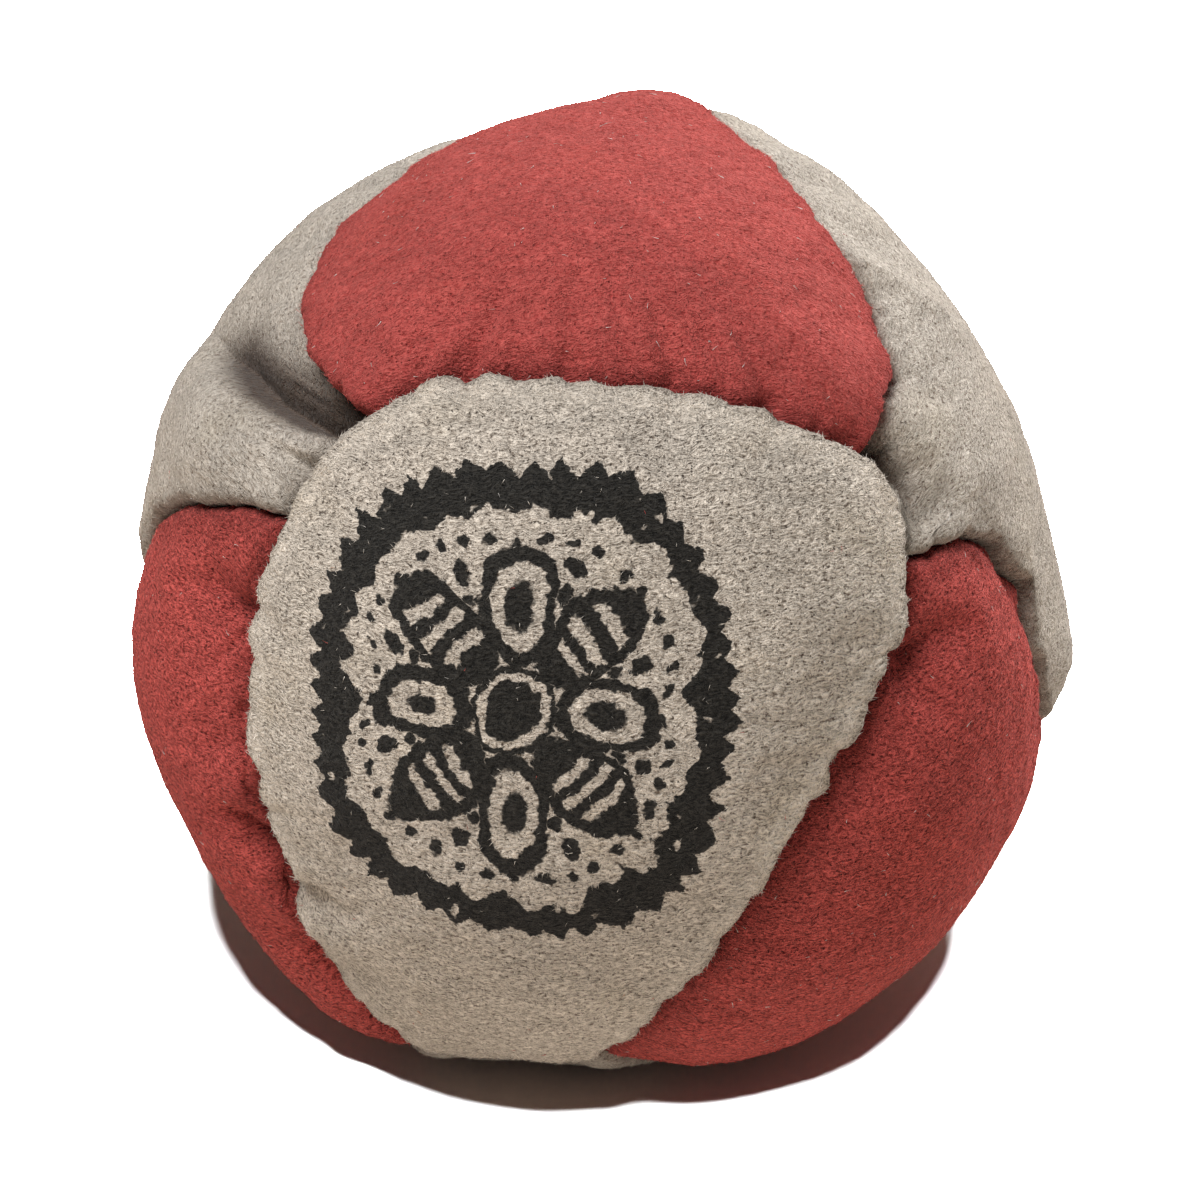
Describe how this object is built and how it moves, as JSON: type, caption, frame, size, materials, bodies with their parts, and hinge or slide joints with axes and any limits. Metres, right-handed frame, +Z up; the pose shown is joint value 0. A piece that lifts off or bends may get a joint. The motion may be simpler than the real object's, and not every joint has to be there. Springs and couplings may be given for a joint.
{
  "type": "footbag",
  "caption": "Hand-sewn suede footbag: a soft round ball of grey six-sided and red three-sided panels over a loose grain filling, slumped flat where it rests.",
  "frame": {"origin": "middle of the face that the bag rests on, under the middle of the ball", "axes": "+Z up from the rest face, -Y out of the front grey panel, +X to the right as the front is seen"},
  "size_m": [0.0492, 0.051, 0.0494],
  "materials": {
    "grey_suede": "napped suede, matt, taupe grey",
    "red_suede": "napped suede, matt, brick red",
    "thread": "waxed polyester sewing thread",
    "grain": "loose dry grain, pale"
  },
  "bodies": {
    "root": {"panel_front": "grey_suede", "panel_left": "grey_suede", "panel_right": "grey_suede", "panel_under": "grey_suede", "panel_top": "red_suede", "panel_side_left": "red_suede", "panel_side_right": "red_suede", "panel_back": "red_suede", "thread_top_front": "thread", "thread_top_left": "thread", "thread_top_right": "thread", "thread_left_side_front": "thread", "thread_left_side_top": "thread", "thread_left_side_under": "thread", "thread_right_side_front": "thread", "thread_right_side_top": "thread", "thread_right_side_under": "thread", "thread_back_left": "thread", "thread_back_right": "thread", "thread_back_under": "thread", "thread_front_left": "thread", "thread_front_right": "thread", "thread_front_under": "thread", "thread_back_middle": "thread", "thread_under_left": "thread", "thread_under_right": "thread", "grain_fill": "grain"}
  },
  "joints": []
}
